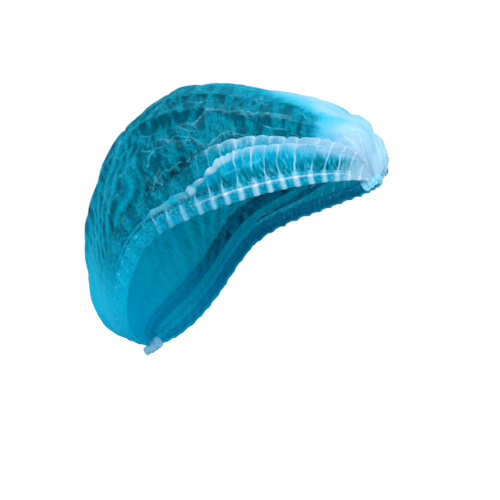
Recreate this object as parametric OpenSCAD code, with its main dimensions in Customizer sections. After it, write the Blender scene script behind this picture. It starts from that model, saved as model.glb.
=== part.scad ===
// Disposable pleated mob cap in its worn shape: a thin non-woven sheet, drawn together at a front and
// a rear end seal, with elastic in a crimped hem on each side. Millimetres, +Z up, the front towards -Y
// and the right side towards -X. The origin is halfway between the two end seals.

/* [Mouth] */
// Distance between the two end seals
mouth_l = 210; // [198:1:222]
// Slope of the line between the end seals, with the front end higher
mouth_tilt = 33.5; // [28:0.5:38]
// Width across the two hems
hem_w = 147; // [140:1:154]
// Height of the hem's arch above the line between the end seals
side_arch = 37; // [32:1:42]
// Distance of the arch's peak behind the middle of the mouth
arch_back = 28; // [20:1:36]

/* [Crown] */
// Height of the crown above the line between the end seals
crown_rise = 129; // [122:1:136]
// How far the crown puffs out past the front end seal
front_puff = 27; // [20:1:30]
// How far the crown puffs out past the rear end seal
rear_puff = 20; // [16:1:25]
// How far the top of the crown puffs out
top_puff = 8.5; // [5:0.5:11]
// How far the crown bags out low at the rear
rear_bag = 7; // [4:0.5:9]
// How far the crown's front slope is drawn in
front_flat = 9; // [4:1:12]
// Turn of a cross-section from the top of the crown to the hem, in degrees
section_turn = 117; // [112:1:120]
// Height of the long folds over the crown, either way from its surface
crown_fold = 1.2; // [0.8:0.1:1.6]
// Number of long folds from the top of the crown to the hem, some of them hidden
crown_folds = 7; // [5:1:8]

/* [Pleats] */
// Thickness that stands for the thin non-woven sheet
sheet_t = 0.8; // [0.6:0.1:1]
// Step inwards from one layer to the next
layer_step = 2.2; // [2:0.1:3]
// Height of the turned-up brim at the front, from the lower edge
brim_front_h = 41; // [38:1:44]
// Height of the turned-up brim at the rear, from the lower edge
brim_rear_h = 18; // [17:1:21]
// Height of the pleat's upper fold at the front
pleat_front_h = 51; // [48:1:55]
// Height of the pleat's upper fold at the rear
pleat_rear_h = 33; // [30:1:37]
// How far an upper fold rolls outwards
fold_roll = 1.2; // [0.6:0.1:1.6]

/* [Hem] */
// Height of the hem
hem_h = 12; // [10.5:0.5:13]
// Clear space between the hem's two layers
hem_gap = 1.6; // [1.4:0.1:2]
// Number of crimps along each side
crimps = 30; // [24:1:32]
// Depth of a crimp
crimp_depth = 1.2; // [0.6:0.1:1.4]
// Gap between the hem's top and the brim
hem_clear = 0.3; // [0.2:0.05:0.6]

/* [Elastic] */
// Width of an elastic strand
elastic_w = 2.2; // [1.6:0.1:2.5]
// Thickness of an elastic strand
elastic_t = 0.8; // [0.5:0.1:0.9]
// Height of the lower strand's middle above the lower edge
elastic_low_h = 3; // [2.6:0.1:3.3]
// Height of the upper strand's middle above the lower edge
elastic_high_h = 6.3; // [6:0.1:6.6]
// Radius of a weld spot
weld_r = 0.7; // [0.4:0.1:0.8]
// Gap between a weld spot and the hem's layers
weld_clear = 0.15; // [0.12:0.01:0.2]

/* [End seals] */
// Radius of an end seal
seal_r = 4; // [3:0.1:5]
// Length of an end seal
seal_l = 14; // [13:0.5:18]
// Depth of the grooves round an end seal
seal_groove = 0.6; // [0.3:0.1:0.8]
// Gap between an end seal and the sheet gathered round it
seal_clear = 0.3; // [0.2:0.05:0.5]

/* [Hidden] */

sheet_blue = [0.05, 0.62, 0.80];
fold_blue = [0.30, 0.74, 0.90];
elastic_white = [0.90, 0.95, 0.97];
weld_blue = [0.55, 0.84, 0.94];

half_l = mouth_l / 2;
seal_ring = seal_r + seal_clear;
// How far a seal reaches into the cap from its end of the mouth
seal_inside = 6;
hem_inner_h = hem_h - sheet_t;
// The weld spots lie this far under the top of the hem's inner layer
weld_margin = 0.3;
weld_h = hem_inner_h - weld_r - weld_margin;

// Stations along the mouth: a crimp takes three of them, and the plainer layers have fewer
crimp_stations = 3;
hem_stations = crimp_stations * crimps;
pleat_stations = 34;
crown_stations = 26;
tucked_rows = 2;
layer_rows = 4;

// Largest share of a section that each height may take where the section narrows to a seal
hem_share = 0.13;
brim_share = 0.36;
pleat_share = 0.44;
// How far up behind the layer outside it each hidden lower edge lies
pleat_tuck = 0.5;
crown_tuck = 0.4;
// The brim narrows between these stations, and the pleat between these
brim_narrows = [0.26, 0.48];
pleat_narrows = [0.28, 0.56];

// The puff over an end seal grows over this turn
tuck_turn = 16;
// Turn at which each swell of the crown's top line is greatest, and its reach either way in degrees
flat_turn = [42, 40];
top_turn = [88, 38];
bag_turn = [160, 18];
// Exponents of the mouth's outline and of the hem's climb from the front
mouth_power = 3.2;
arch_power = 0.85;
// The crown shows its folds down to this share of a section, and sinks under the pleats between these
folded_v = 0.5;
sink = [0.36, 0.54];
// Its folds grow with the height of the crown, as a share of the full height
fold_grows = [0, 0.8];

// Smoothly the smaller of two positive numbers
function smaller(p, q) = p * q / pow(pow(p, 4) + pow(q, 4), 1 / 4);
// 0 below the span, 1 above it, with a smooth rise between
function rise(x, span) =
    let (s = max(0, min(1, (x - span[0]) / (span[1] - span[0])))) s * s * (3 - 2 * s);
// 1 at 0, falling to 0 at -1 and 1
function bump(x) = abs(x) < 1 ? pow(cos(90 * x), 2) : 0;
function mix(p, q, s) = p + (q - p) * s;

// The mouth's own directions: x across, a from the front seal to the rear one, b square to both
function to_frame(x, a, b) = [
    x,
    a * cos(mouth_tilt) + b * sin(mouth_tilt),
    b * cos(mouth_tilt) - a * sin(mouth_tilt)
];
function a_of(p) = p[1] * cos(mouth_tilt) - p[2] * sin(mouth_tilt);
function b_of(p) = p[1] * sin(mouth_tilt) + p[2] * cos(mouth_tilt);

// Top line of the crown as [a, b], from the front seal at u = 0 to the rear seal at u = 1
function tuck(turn) =
    let (s = min(turn, 180 - turn) / tuck_turn) s < 1 ? 1 - (1 - s) * (1 - s) : 1;
function swell(turn, at) = bump((turn - at[0]) / at[1]);
function crest(u) =
    let (
        turn = 180 * u,
        swells = top_puff * swell(turn, top_turn) + rear_bag * swell(turn, bag_turn)
            - front_flat * swell(turn, flat_turn),
        grown = 1 + swells / crown_rise,
        reach = half_l + mix(front_puff, rear_puff, u) * tuck(turn)
    )
    [-reach * cos(turn) * grown, crown_rise * sin(turn) * grown];

// Lower edge of one side as [x, a, b]
function arch(s) =
    let (peak = (1 + arch_back / half_l) / 2, top = side_arch * pow(2, 1 / 4))
    smaller(top * pow(s / peak, arch_power), top * (1 - s) / (1 - peak));
function edge(u) =
    let (c = cos(180 * u))
    [hem_w / 2 * sqrt(1 - pow(abs(c), mouth_power)), -half_l * c, arch((1 - c) / 2)];

// Middle of the oval section at u, as [a, b]
function middle(u) =
    let (k = cos(section_turn), top = crest(u), low = edge(u))
    [(low[1] - top[0] * k) / (1 - k), (low[2] - top[1] * k) / (1 - k)];

// Point of the cap's outer surface: v is 0 on the crest, 1 on the right edge and -1 on the left edge
function skin(u, v) =
    let (turn = v * section_turn, top = crest(u), mid = middle(u))
    to_frame(
        -edge(u)[0] / sin(section_turn) * sin(turn),
        mix(mid[0], top[0], cos(turn)),
        mix(mid[1], top[1], cos(turn))
    );
function outward(u, v) =
    let (
        d = 0.002,
        n = cross(skin(u + d, v) - skin(u - d, v), skin(u, v + d) - skin(u, v - d))
    )
    n / norm(n);

// The v of a height above the lower edge, at most a share of the section
function at_height(u, h, share) =
    let (section_l = norm(crest(u) - middle(u)) * section_turn * PI / 180)
    1 - smaller(h / section_l, share);
function hem_v(u) = at_height(u, hem_h, hem_share);
function brim_v(u) =
    at_height(u, mix(brim_front_h, brim_rear_h, rise(u, brim_narrows)), brim_share);
function pleat_v(u) =
    at_height(u, mix(pleat_front_h, pleat_rear_h, rise(u, pleat_narrows)), pleat_share);
function pleat_low_v(u) = mix(hem_v(u), brim_v(u), pleat_tuck);
function crown_low_v(u) = mix(pleat_low_v(u), pleat_v(u), crown_tuck);

// Station i of n, between the rings that each line makes round the two end seals
function ring_u(v) =
    let (near = 0.01, p = skin(near, v)) near * seal_ring / norm([p[0], b_of(p)]);
function station(i, n, v) = mix(ring_u(v), 1 - ring_u(v), i / n);
// The same station without its line, kept off the very ends
function plain_station(i, n) = max(0.01, min(0.99, i / n));

// A point lifted off the skin, put on a seal's ring at the two ends
function lifted(i, n, v, lift) =
    let (u = station(i, n, v), p = skin(u, v) + outward(u, v) * lift)
    i > 0 && i < n ? p :
    let (r = norm([p[0], b_of(p)]))
    to_frame(p[0] * seal_ring / r, a_of(p), b_of(p) * seal_ring / r);

// Crimps run across the hem and fade out at the end seals
function crimp(i) =
    crimp_depth * cos(360 / crimp_stations * i) * rise(min(i, hem_stations - i), [0, crimp_stations + 1]);

// Long folds over the crown, flat where the crown sinks under the pleats
function crown_lift(u, v) =
    let (under = rise(abs(v), sink))
    crown_fold * cos(360 * crown_folds * v) * (1 - under) * rise(sin(180 * u), fold_grows)
        - 2 * layer_step * under;

// A closed shell over stations: each section is its outer row of points and its inner row
module shell(sections) {
    m = len(sections[0][0]);
    n = len(sections) - 1;
    ring = 2 * m;
    points = [for (s = sections) each concat(s[0], [for (k = [m - 1:-1:0]) s[1][k]])];
    walls = [
        for (i = [0:n - 1], k = [0:ring - 1])
            let (
                p = i * ring + k,
                q = i * ring + (k + 1) % ring
            )
            each [[p, q, q + ring], [p, q + ring, p + ring]]
    ];
    caps = [
        for (k = [0:m - 2])
            let (p = k, q = k + 1, r = ring - 2 - k, s = ring - 1 - k, far = n * ring)
            each [
                [p, r, q], [p, s, r],
                [far + p, far + q, far + r], [far + p, far + r, far + s]
            ]
    ];
    polyhedron(points, concat(walls, caps));
}

// A layer of sheet of the usual thickness: lines[i] and lifts[i] are its v values and its lifts
module layer(n, lines, lifts) {
    shell([
        for (i = [0:n])
            [
                [for (k = [0:len(lines[i]) - 1]) lifted(i, n, lines[i][k], lifts[i][k])],
                [for (k = [0:len(lines[i]) - 1]) lifted(i, n, lines[i][k], lifts[i][k] - sheet_t)]
            ]
    ]);
}

// Rows of the crown from edge to edge: the peaks and valleys of its folds, and a few below them
function crown_lines(low) =
    let (
        side = concat(
            [for (k = [1:2 * folded_v * crown_folds]) k / (2 * crown_folds)],
            [for (k = [1:tucked_rows]) mix(folded_v, low, k / tucked_rows)]
        )
    )
    concat([for (k = [len(side) - 1:-1:0]) -side[k]], [0], side);

module crown_panel() {
    n = crown_stations;
    lines = [for (i = [0:n]) crown_lines(crown_low_v(plain_station(i, n)))];
    color(sheet_blue) layer(n, lines, [for (i = [0:n]) [for (v = lines[i]) crown_lift(i / n, v)]]);
}

// Rows of a layer from its upper fold to its lower edge, and their lifts with the fold rolled out
function layer_lines(top, low) = [for (k = [0:layer_rows - 1]) mix(top, low, k / (layer_rows - 1))];
function layer_lifts(lift) = [for (k = [0:layer_rows - 1]) lift + (k == 0 ? fold_roll : 0)];

module pleat() {
    n = pleat_stations;
    color(sheet_blue) layer(
        n,
        [for (i = [0:n]) let (u = plain_station(i, n)) layer_lines(pleat_v(u), pleat_low_v(u))],
        [for (i = [0:n]) layer_lifts(-layer_step)]
    );
}

module brim() {
    n = hem_stations;
    clear = hem_clear / hem_h;
    color(fold_blue) layer(
        n,
        [for (i = [0:n]) let (u = plain_station(i, n)) layer_lines(brim_v(u), mix(1, hem_v(u), 1 + clear))],
        [for (i = [0:n]) layer_lifts(crimp(i))]
    );
}

// The hem is the sheet's edge turned up inside: an outer layer, the fold and a shorter inner layer
module hem() {
    n = hem_stations;
    color(fold_blue) shell([
        for (i = [0:n])
            let (
                top = hem_v(plain_station(i, n)),
                inner_top = mix(1, top, hem_inner_h / hem_h),
                fold = mix(1, top, sheet_t / hem_h),
                outer = crimp(i),
                inner = outer - sheet_t - hem_gap
            )
            [
                [
                    lifted(i, n, top, outer),
                    lifted(i, n, 1, outer),
                    lifted(i, n, 1, inner - sheet_t),
                    lifted(i, n, inner_top, inner - sheet_t)
                ],
                [
                    lifted(i, n, top, outer - sheet_t),
                    lifted(i, n, fold, outer - sheet_t),
                    lifted(i, n, fold, inner),
                    lifted(i, n, inner_top, inner)
                ]
            ]
    ]);
}

// A flat strand in the hem's clear space, its middle at height h
module elastic(h) {
    n = hem_stations;
    color(elastic_white) shell([
        for (i = [0:n])
            let (
                top = hem_v(plain_station(i, n)),
                lines = [for (side = [1, -1]) mix(1, top, (h + side * elastic_w / 2) / hem_h)],
                lift = crimp(i) - sheet_t - hem_gap / 2
            )
            [
                [for (v = lines) lifted(i, n, v, lift + elastic_t / 2)],
                [for (v = lines) lifted(i, n, v, lift - elastic_t / 2)]
            ]
    ]);
}

// Point at height h on the inner face of the hem's outer layer, which is straight between its two rows
function hem_face(i, h) =
    let (
        top = hem_v(plain_station(i, hem_stations)),
        fold = mix(1, top, sheet_t / hem_h),
        lift = crimp(i) - sheet_t
    )
    mix(
        lifted(i, hem_stations, fold, lift),
        lifted(i, hem_stations, top, lift),
        (h - sheet_t) / (hem_h - sheet_t)
    );

// Weld spots that close the hem above the elastic, one on each crimp, low enough to clear its slopes
module hem_welds() {
    n = hem_stations;
    color(weld_blue) for (i = [2 * crimp_stations:crimp_stations:n - 2 * crimp_stations]) {
        v = mix(1, hem_v(plain_station(i, n)), weld_h / hem_h);
        d = outward(station(i, n, v), v);
        peak = hem_face(i, weld_h);
        slopes = [
            for (k = [i - 1, i + 1])
                let (s = peak - hem_face(k, weld_h), drop = s * d)
                drop / norm(s - drop * d)
        ];
        dip = weld_r * max(slopes);
        translate(peak - d * (hem_gap + dip) / 2)
            rotate([0, acos(d[2]), atan2(d[1], d[0])])
                cylinder(h = hem_gap - 2 * weld_clear - dip, r = weld_r, center = true, $fn = 16);
    }
}

// A welded stub on the line between the seals, grooved where the jaws pressed the pleats together
module end_seal() {
    grooves = 3;
    pitch = seal_l / (grooves + 1);
    groove_w = pitch / 3;
    color(weld_blue) translate([0, 0, half_l - seal_inside]) difference() {
        cylinder(h = seal_l, r = seal_r, $fn = 48);
        for (k = [1:grooves]) translate([0, 0, k * pitch - groove_w / 2])
            difference() {
                cylinder(h = groove_w, r = seal_r + 1, $fn = 48);
                cylinder(h = groove_w, r = seal_r - seal_groove, $fn = 48);
            }
    }
}
module front_end_seal() {
    rotate([90 - mouth_tilt, 0, 0]) end_seal();
}
module rear_end_seal() {
    rotate([-90 - mouth_tilt, 0, 0]) end_seal();
}

module left() {
    mirror([1, 0, 0]) children();
}

crown_panel();
pleat();  // right_pleat
left() pleat();  // left_pleat
brim();  // right_brim
left() brim();  // left_brim
hem();  // right_hem
left() hem();  // left_hem
elastic(elastic_low_h);  // right_lower_elastic
left() elastic(elastic_low_h);  // left_lower_elastic
elastic(elastic_high_h);  // right_upper_elastic
left() elastic(elastic_high_h);  // left_upper_elastic
hem_welds();  // right_hem_welds
left() hem_welds();  // left_hem_welds
front_end_seal();
rear_end_seal();
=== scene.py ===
"""Disposable pleated mob cap in its worn shape: a thin blue non-woven sheet drawn together at two end seals,
with a turned-up brim, a pleat and a crimped elastic hem on each side. Sizes are in millimetres, as in the
part's source. Pieces are made in metres in the shared frame: the front towards -Y, the right towards -X."""
import math

import bpy
import numpy as np
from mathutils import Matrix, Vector


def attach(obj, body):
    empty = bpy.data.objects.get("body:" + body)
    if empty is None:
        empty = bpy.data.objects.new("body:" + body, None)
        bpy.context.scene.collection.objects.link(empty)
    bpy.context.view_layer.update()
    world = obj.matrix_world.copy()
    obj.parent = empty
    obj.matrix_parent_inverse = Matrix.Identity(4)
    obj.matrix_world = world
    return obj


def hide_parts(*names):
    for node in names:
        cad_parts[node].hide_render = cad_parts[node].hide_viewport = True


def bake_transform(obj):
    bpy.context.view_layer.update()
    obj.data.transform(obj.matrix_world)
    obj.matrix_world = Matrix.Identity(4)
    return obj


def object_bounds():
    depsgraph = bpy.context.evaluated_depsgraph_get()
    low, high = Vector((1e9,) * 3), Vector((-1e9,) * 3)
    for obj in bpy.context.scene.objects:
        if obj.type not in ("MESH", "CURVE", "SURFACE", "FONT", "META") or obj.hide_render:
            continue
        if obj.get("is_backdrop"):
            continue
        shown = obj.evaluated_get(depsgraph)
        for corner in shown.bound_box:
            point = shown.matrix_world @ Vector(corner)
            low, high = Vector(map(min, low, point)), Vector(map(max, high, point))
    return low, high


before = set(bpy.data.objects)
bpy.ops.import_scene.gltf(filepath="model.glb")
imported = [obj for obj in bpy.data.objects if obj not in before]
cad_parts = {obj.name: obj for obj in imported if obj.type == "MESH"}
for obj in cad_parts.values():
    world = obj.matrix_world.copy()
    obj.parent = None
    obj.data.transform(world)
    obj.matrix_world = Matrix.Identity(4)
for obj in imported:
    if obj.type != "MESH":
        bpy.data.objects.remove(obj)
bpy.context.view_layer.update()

MM = 0.001

# Mouth and crown, as in the part's source
MOUTH_L = 210
MOUTH_TILT = math.radians(33.5)
HEM_W = 147
SIDE_ARCH = 37
ARCH_BACK = 28
CROWN_RISE = 129
FRONT_PUFF = 27
REAR_PUFF = 20
TOP_PUFF = 8.5
REAR_BAG = 7
FRONT_FLAT = 9
SECTION_TURN = math.radians(117)
CROWN_FOLD = 1.2
CROWN_FOLDS = 7
HALF_L = MOUTH_L / 2

# Turn over which the puff at a seal grows, and middle and reach of each swell of the top line, in degrees
TUCK_TURN = 16
FLAT_TURN = (42, 40)
TOP_TURN = (88, 38)
BAG_TURN = (160, 18)

# Exponents of the mouth's outline and of the hem's climb from the front
MOUTH_POWER = 3.2
ARCH_POWER = 0.85

# Shares of a section: the most that a height takes, and how far up each hidden lower edge is tucked
HEM_SHARE = 0.13
BRIM_SHARE = 0.36
PLEAT_SHARE = 0.44
PLEAT_TUCK = 0.5
CROWN_TUCK = 0.4

# Spans over which the brim and the pleat narrow, the crown sinks and its folds grow
BRIM_NARROWS = (0.26, 0.48)
PLEAT_NARROWS = (0.28, 0.56)
SINK = (0.36, 0.54)
FOLD_GROWS = (0, 0.8)

# Layers and folds
SHEET_T = 0.8
LAYER_STEP = 2.2
BRIM_FRONT_H = 41
BRIM_REAR_H = 18
PLEAT_FRONT_H = 51
PLEAT_REAR_H = 33
FOLD_ROLL = 1.2
HEM_H = 12
HEM_GAP = 1.6
HEM_LINE_H = 8.4
CRIMPS = 30
CRIMP_DEPTH = 1.2
ELASTIC_W = 2.2
ELASTIC_T = 0.8
ELASTIC_HEIGHTS = {"lower": 3, "upper": 6.3}
WELD_R = 0.7
WELD_H = 10.2
SEAL_R = 4
SEAL_L = 14
SEAL_INSIDE = 6
SEAL_RING = 3.7

# Lengths of the sheet along and down a side, and the pitch of its fine gathers
ALONG_L = 400
DOWN_L = 125
GATHER_PITCH = 8

# Creases laid in the sheet: the strength of each, and the points that it passes as shares along and down
CROWN_CREASES = [
    (1.0, [(0.41, 0.49), (0.38, 0.50), (0.355, 0.42), (0.29, 0.40), (0.20, 0.39)]),
    (0.9, [(0.46, 0.56), (0.41, 0.60), (0.36, 0.65), (0.34, 0.62), (0.31, 0.56), (0.29, 0.62)]),
    (0.7, [(0.41, 0.71), (0.40, 0.80)]),
    (0.7, [(0.45, 0.73), (0.42, 0.74), (0.39, 0.68)]),
    (0.9, [(0.51, 0.73), (0.515, 0.78), (0.51, 0.82), (0.52, 0.91)]),
    (0.8, [(0.48, 0.73), (0.51, 0.79)]),
    (0.8, [(0.19, 0.24), (0.15, 0.32), (0.11, 0.40), (0.08, 0.53)]),
    (1.0, [(0.08, 0.32), (0.064, 0.44), (0.04, 0.54), (0.012, 0.65)])]
BRIM_L = 330
BRIM_DOWN_L = 24
BRIM_CREASES = [(1.0, [(0.240, 0.95), (0.246, 0.70), (0.268, 0.52), (0.310, 0.44), (0.360, 0.46)])]

# How far the nearest crease is, in mm, where there is none
NO_CREASE = 99.0

# Puffs between the folds that the front seal draws together: shares along and down, radius and height
FRONT_PUFFS = [(0.106, -0.12, 8, 3.7), (0.045, -0.61, 21, 4.8), (0.105, -0.81, 9.5, 5.4)]
# Stretch of a puff along the cap, and how far the front sinks beside the seal and swells above it
PUFF_STRETCH = 1.5
FRONT_SINK = 2.8
FRONT_SWELL = 2.3

# Number of mesh columns from seal to seal
BRIM_COLUMNS = 450
PLEAT_COLUMNS = 330

# Angles of the points round a rolled fold
ROLL_TURNS = np.linspace(0, math.pi, 9)[1:]

# The sign of v on the two sides, and the seeds of the wrinkles
SIDES = {"right": 1, "left": -1}
SEEDS = {"right": 7, "left": 23, "crown": 3}


def smaller(p, q):
    """Smoothly the smaller of two positive numbers."""
    return p * q / (p ** 4 + q ** 4) ** 0.25


def rise(x, low, high):
    """0 below the span, 1 above it, with a smooth rise between."""
    s = np.clip((x - low) / (high - low), 0, 1)
    return s * s * (3 - 2 * s)


def bump(x):
    """1 at 0, falling to 0 at -1 and 1."""
    return np.where(np.abs(x) < 1, np.cos(np.pi / 2 * x) ** 2, 0)


def bell(x, width):
    return np.exp(-(x / width) ** 2)


def mix(p, q, s):
    return p + (q - p) * s


def to_frame(x, a, b):
    """From the mouth's own directions: x across, a from the front seal to the rear one, b square to both."""
    cos, sin = math.cos(MOUTH_TILT), math.sin(MOUTH_TILT)
    return np.stack([x, a * cos + b * sin, b * cos - a * sin], -1)


def swelling(turn, span):
    """1 at the middle of a swell, falling to 0 at its reach either way."""
    at, reach = span
    return bump((turn - at) / reach)


def crest(u):
    """Top line of the crown as a and b, from the front seal at u = 0 to the rear seal at u = 1."""
    turn = 180 * u
    near = np.minimum(turn, 180 - turn) / TUCK_TURN
    tuck = np.where(near < 1, 1 - (1 - near) ** 2, 1)
    swells = TOP_PUFF * swelling(turn, TOP_TURN) + REAR_BAG * swelling(turn, BAG_TURN)
    swells = swells - FRONT_FLAT * swelling(turn, FLAT_TURN)
    grown = 1 + swells / CROWN_RISE
    reach = HALF_L + mix(FRONT_PUFF, REAR_PUFF, u) * tuck
    return -reach * np.cos(np.pi * u) * grown, CROWN_RISE * np.sin(np.pi * u) * grown


def edge(u):
    """Lower edge of one side as x, a and b."""
    c = np.cos(np.pi * u)
    s = (1 - c) / 2
    peak = (1 + ARCH_BACK / HALF_L) / 2
    top = SIDE_ARCH * 2 ** 0.25
    climb = top * (np.maximum(s, 1e-9) / peak) ** ARCH_POWER
    fall = top * np.maximum(1 - s, 1e-9) / (1 - peak)
    across = HEM_W / 2 * np.sqrt(np.maximum(1 - np.abs(c) ** MOUTH_POWER, 0))
    return across, -HALF_L * c, smaller(climb, fall)


def middle(u):
    """Middle of the oval section at u, as a and b."""
    k = math.cos(SECTION_TURN)
    top_a, top_b = crest(u)
    _, low_a, low_b = edge(u)
    return (low_a - top_a * k) / (1 - k), (low_b - top_b * k) / (1 - k)


def skin(u, v):
    """Point of the cap's outer surface: v is 0 on the crest, 1 on the right edge and -1 on the left edge."""
    turn = v * SECTION_TURN
    top_a, top_b = crest(u)
    mid_a, mid_b = middle(u)
    across = -edge(u)[0] / math.sin(SECTION_TURN) * np.sin(turn)
    return to_frame(across, mix(mid_a, top_a, np.cos(turn)), mix(mid_b, top_b, np.cos(turn)))


def outward(u, v):
    d = 0.002
    u = np.clip(u, 2 * d, 1 - 2 * d)
    n = np.cross(skin(u + d, v) - skin(u - d, v), skin(u, v + d) - skin(u, v - d))
    return n / np.linalg.norm(n, axis=-1, keepdims=True)


def section_l(u):
    top, mid = crest(u), middle(u)
    return np.hypot(top[0] - mid[0], top[1] - mid[1]) * SECTION_TURN


def at_height(u, h, share):
    """The v of a height above the lower edge, at most a share of the section."""
    return 1 - smaller(h / section_l(u), share)


def hem_v(u):
    return at_height(u, HEM_H, HEM_SHARE)


def brim_h(u):
    return mix(BRIM_FRONT_H, BRIM_REAR_H, rise(u, *BRIM_NARROWS))


def brim_v(u):
    return at_height(u, brim_h(u), BRIM_SHARE)


def pleat_h(u):
    return mix(PLEAT_FRONT_H, PLEAT_REAR_H, rise(u, *PLEAT_NARROWS))


def pleat_v(u):
    return at_height(u, pleat_h(u), PLEAT_SHARE)


def layer_step(u):
    """How far one layer lies under the next: they close up towards the seals."""
    return LAYER_STEP * mix(0.4, 1, rise(ALONG_L * np.minimum(u, 1 - u), 5, 50))


def pleat_low_v(u):
    return mix(hem_v(u), brim_v(u), PLEAT_TUCK)


def crown_low_v(u):
    return mix(pleat_low_v(u), pleat_v(u), CROWN_TUCK)


def stations(columns, v):
    """The u of each column on lines of v, from the front seal's ring to the rear one's."""
    near = 0.01
    p = skin(np.full_like(v, near), v)
    b = p[..., 1] * math.sin(MOUTH_TILT) + p[..., 2] * math.cos(MOUTH_TILT)
    ring = near * SEAL_RING / np.hypot(p[..., 0], b)
    return mix(ring, 1 - ring, np.linspace(0, 1, columns + 1)[None, :])


def plain_stations(columns):
    return np.clip(np.linspace(0, 1, columns + 1), 0.01, 0.99)


def shares(columns):
    """The share of the way from seal to seal at each column."""
    return np.linspace(0, 1, columns + 1)[None, :]


def off_seals(t):
    """0 at both end seals, and 1 a little way from them."""
    return rise(np.minimum(t, 1 - t), 0, 0.05)


def rear_share(t):
    """0 along the front, and 1 where the brim lies flat at the rear."""
    return rise(t, 0.47, 0.60)


class Wrinkles:
    """Seeded smooth noise and crumple cells over points."""

    side = 32

    def __init__(self, seed):
        draw = np.random.default_rng(seed)
        self.values = draw.random((self.side,) * 3) * 2 - 1
        self.places = draw.random((self.side,) * 3 + (3,))

    def at(self, table, cell):
        cell = np.mod(cell, self.side)
        return table[cell[..., 0], cell[..., 1], cell[..., 2]]

    def soft(self, points, size):
        """Smooth noise from -1 to 1 with features of the given size."""
        grid = points / size
        cell = np.floor(grid).astype(int)
        part = grid - cell
        part = part * part * (3 - 2 * part)
        total = 0
        for corner in np.ndindex(2, 2, 2):
            share = np.prod(np.where(np.array(corner) == 1, part, 1 - part), axis=-1)
            total = total + share * self.at(self.values, cell + np.array(corner))
        return total

    def bent(self, points, size, reach):
        """The points, each moved by smooth noise."""
        apart = np.array([(0, 0, 0), (91, 17, 5), (7, 53, 131)])
        shift = [self.soft(points + offset, size) for offset in apart]
        return points + reach * np.stack(shift, -1)

    def cells(self, points, size):
        """How far each point lies from the edge of its crumple cell, from 0 on the edge to about 1."""
        grid = points / size
        cell = np.floor(grid).astype(int)
        first = np.full(points.shape[:-1], 9.0)
        second = first.copy()
        for corner in np.ndindex(3, 3, 3):
            near = cell + np.array(corner) - 1
            away = np.linalg.norm(near + self.at(self.places, near) - grid, axis=-1)
            second = np.minimum(second, np.maximum(first, away))
            first = np.minimum(first, away)
        return second - first

    def crinkles(self, points):
        """Lift of the small crinkles of gathered sheet."""
        edges = self.cells(self.bent(points, 9, 3), 11)
        return 0.5 * np.exp(-edges / 0.16) + 0.4 * self.soft(points, 6)


def linked(name, data):
    """A new object in the scene."""
    piece = bpy.data.objects.new(name, data)
    bpy.context.scene.collection.objects.link(piece)
    return piece


def cloth(name, points, pattern, marks, flip):
    """A sheet over a grid of points in mm, with its own pattern coordinates and marks on its points."""
    rows, columns = points.shape[:2]
    index = np.arange(rows * columns).reshape(rows, columns)
    quads = np.stack([index[:-1, :-1], index[:-1, 1:], index[1:, 1:], index[1:, :-1]], -1).reshape(-1, 4)
    if flip:
        quads = quads[:, ::-1]
    mesh = bpy.data.meshes.new(name)
    mesh.from_pydata((points.reshape(-1, 3) * MM).tolist(), [], quads.tolist())
    layer = mesh.uv_layers.new(name="sheet")
    layer.data.foreach_set("uv", pattern.reshape(-1, 2)[quads.ravel()].ravel())
    for mark, values in marks.items():
        values = np.broadcast_to(values, (rows, columns)).ravel()
        mesh.attributes.new(mark, "FLOAT", "POINT").data.foreach_set("value", values)
    mesh.shade_smooth()
    return linked(name, mesh)


def pattern_of(points):
    """Pattern coordinates in mm, measured along the rows and down the columns of a grid of points."""
    along = np.linalg.norm(np.diff(points, axis=1), axis=-1).mean(axis=0)
    down = np.linalg.norm(np.diff(points, axis=0), axis=-1)
    down = down[:, down.shape[1] // 2]
    u = np.concatenate([[0], np.cumsum(along)])
    v = np.concatenate([[0], np.cumsum(down)])
    return np.stack(np.broadcast_arrays(u[None, :], v[:, None]), -1)


def front_near(points, near, far):
    """1 at the front end seal, falling to 0 some way back."""
    seal = to_frame(0.0, -HALF_L, 0.0)
    return 1 - rise(np.linalg.norm(points - seal, axis=-1), near, far)


def rear_near(points):
    seal = to_frame(0.0, HALF_L, 0.0)
    return 1 - rise(np.linalg.norm(points - seal, axis=-1), 55, 125)


def fold_phase(wrinkles, v, base):
    """Number of long folds passed from the crest towards the edge."""
    return CROWN_FOLDS * np.abs(v) + 0.14 * wrinkles.soft(base, 34) + 0.06 * wrinkles.soft(base, 13)


def front_lift(u, v):
    """Lift of the front: drawn in beside the seal, soft puffs between its folds, and full above them."""
    travel = ALONG_L * u
    drawn_in = rise(travel, 8, 22) * (1 - rise(travel, 42, 66)) * (1 - rise(v, 0, 0.2))
    full = bump((travel - 80) / 44) * bell(v, 0.4)
    puff = 0
    for along, down, radius, height in FRONT_PUFFS:
        away = np.hypot(ALONG_L * (u - along) / PUFF_STRETCH, section_l(u) * (v - down)) / radius
        puff = np.maximum(puff, height * (1 - rise(away, 0.3, 1.2)))
    return FRONT_SWELL * full + puff - FRONT_SINK * drawn_in


def streak_phase(wrinkles, u, v, base):
    """Number of soft streaks passed down the rear, where they follow the bag, or round the front."""
    rear = 8 * (np.abs(v) - 3 * (u - 0.5)) + 1.1 * wrinkles.soft(base, 26)
    return np.where(u < 0.3, 4 * v + 1.3 * wrinkles.soft(base, 20), rear)


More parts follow.
